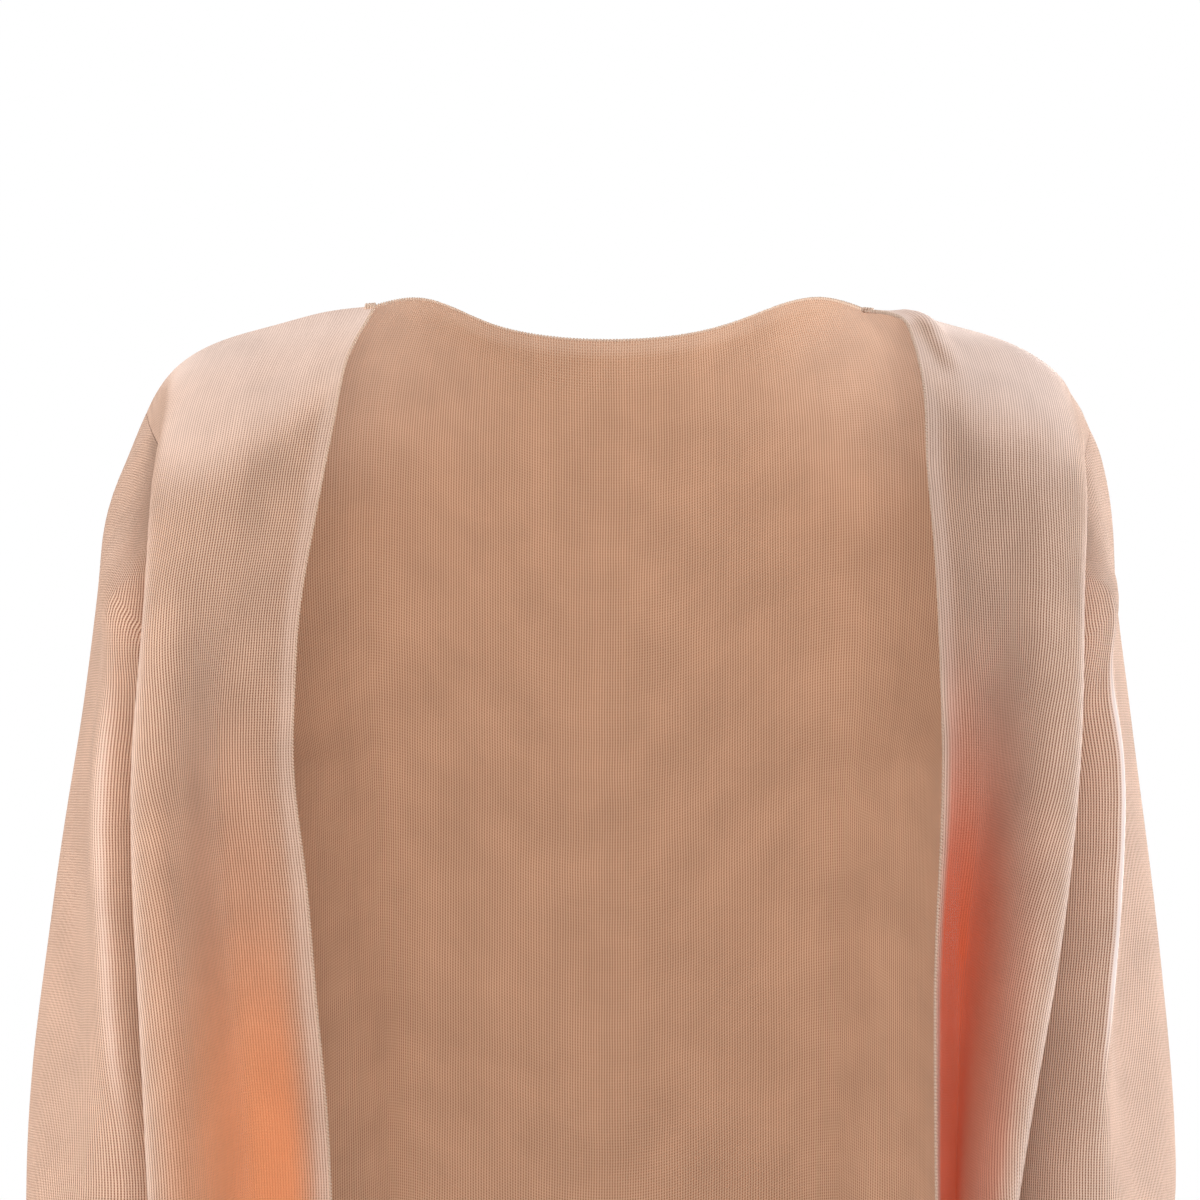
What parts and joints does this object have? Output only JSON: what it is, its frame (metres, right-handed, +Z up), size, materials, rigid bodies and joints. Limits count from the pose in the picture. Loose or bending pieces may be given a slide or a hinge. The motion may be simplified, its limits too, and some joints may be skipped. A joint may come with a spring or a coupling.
{
  "type": "bolero",
  "caption": "Short open-front bolero in fine knit with long set-in sleeves, holding the hollow form it has when worn.",
  "frame": {"origin": "midway between the neck ends of the two shoulder seams, where the wearer's shoulders hold the garment up", "axes": "+Z up, +X towards the wearer's left, the open front faces -Y"},
  "size_m": [0.5099, 0.1983, 0.5418],
  "materials": {
    "back": "fine plain knit, matt",
    "front_right": "fine plain knit, matt",
    "front_left": "fine plain knit, matt",
    "sleeve_right": "fine plain knit, matt",
    "sleeve_left": "fine plain knit, matt"
  },
  "bodies": {
    "root": {"back": "back", "front_right": "front_right", "front_left": "front_left", "sleeve_right": "sleeve_right", "sleeve_left": "sleeve_left"}
  },
  "joints": []
}
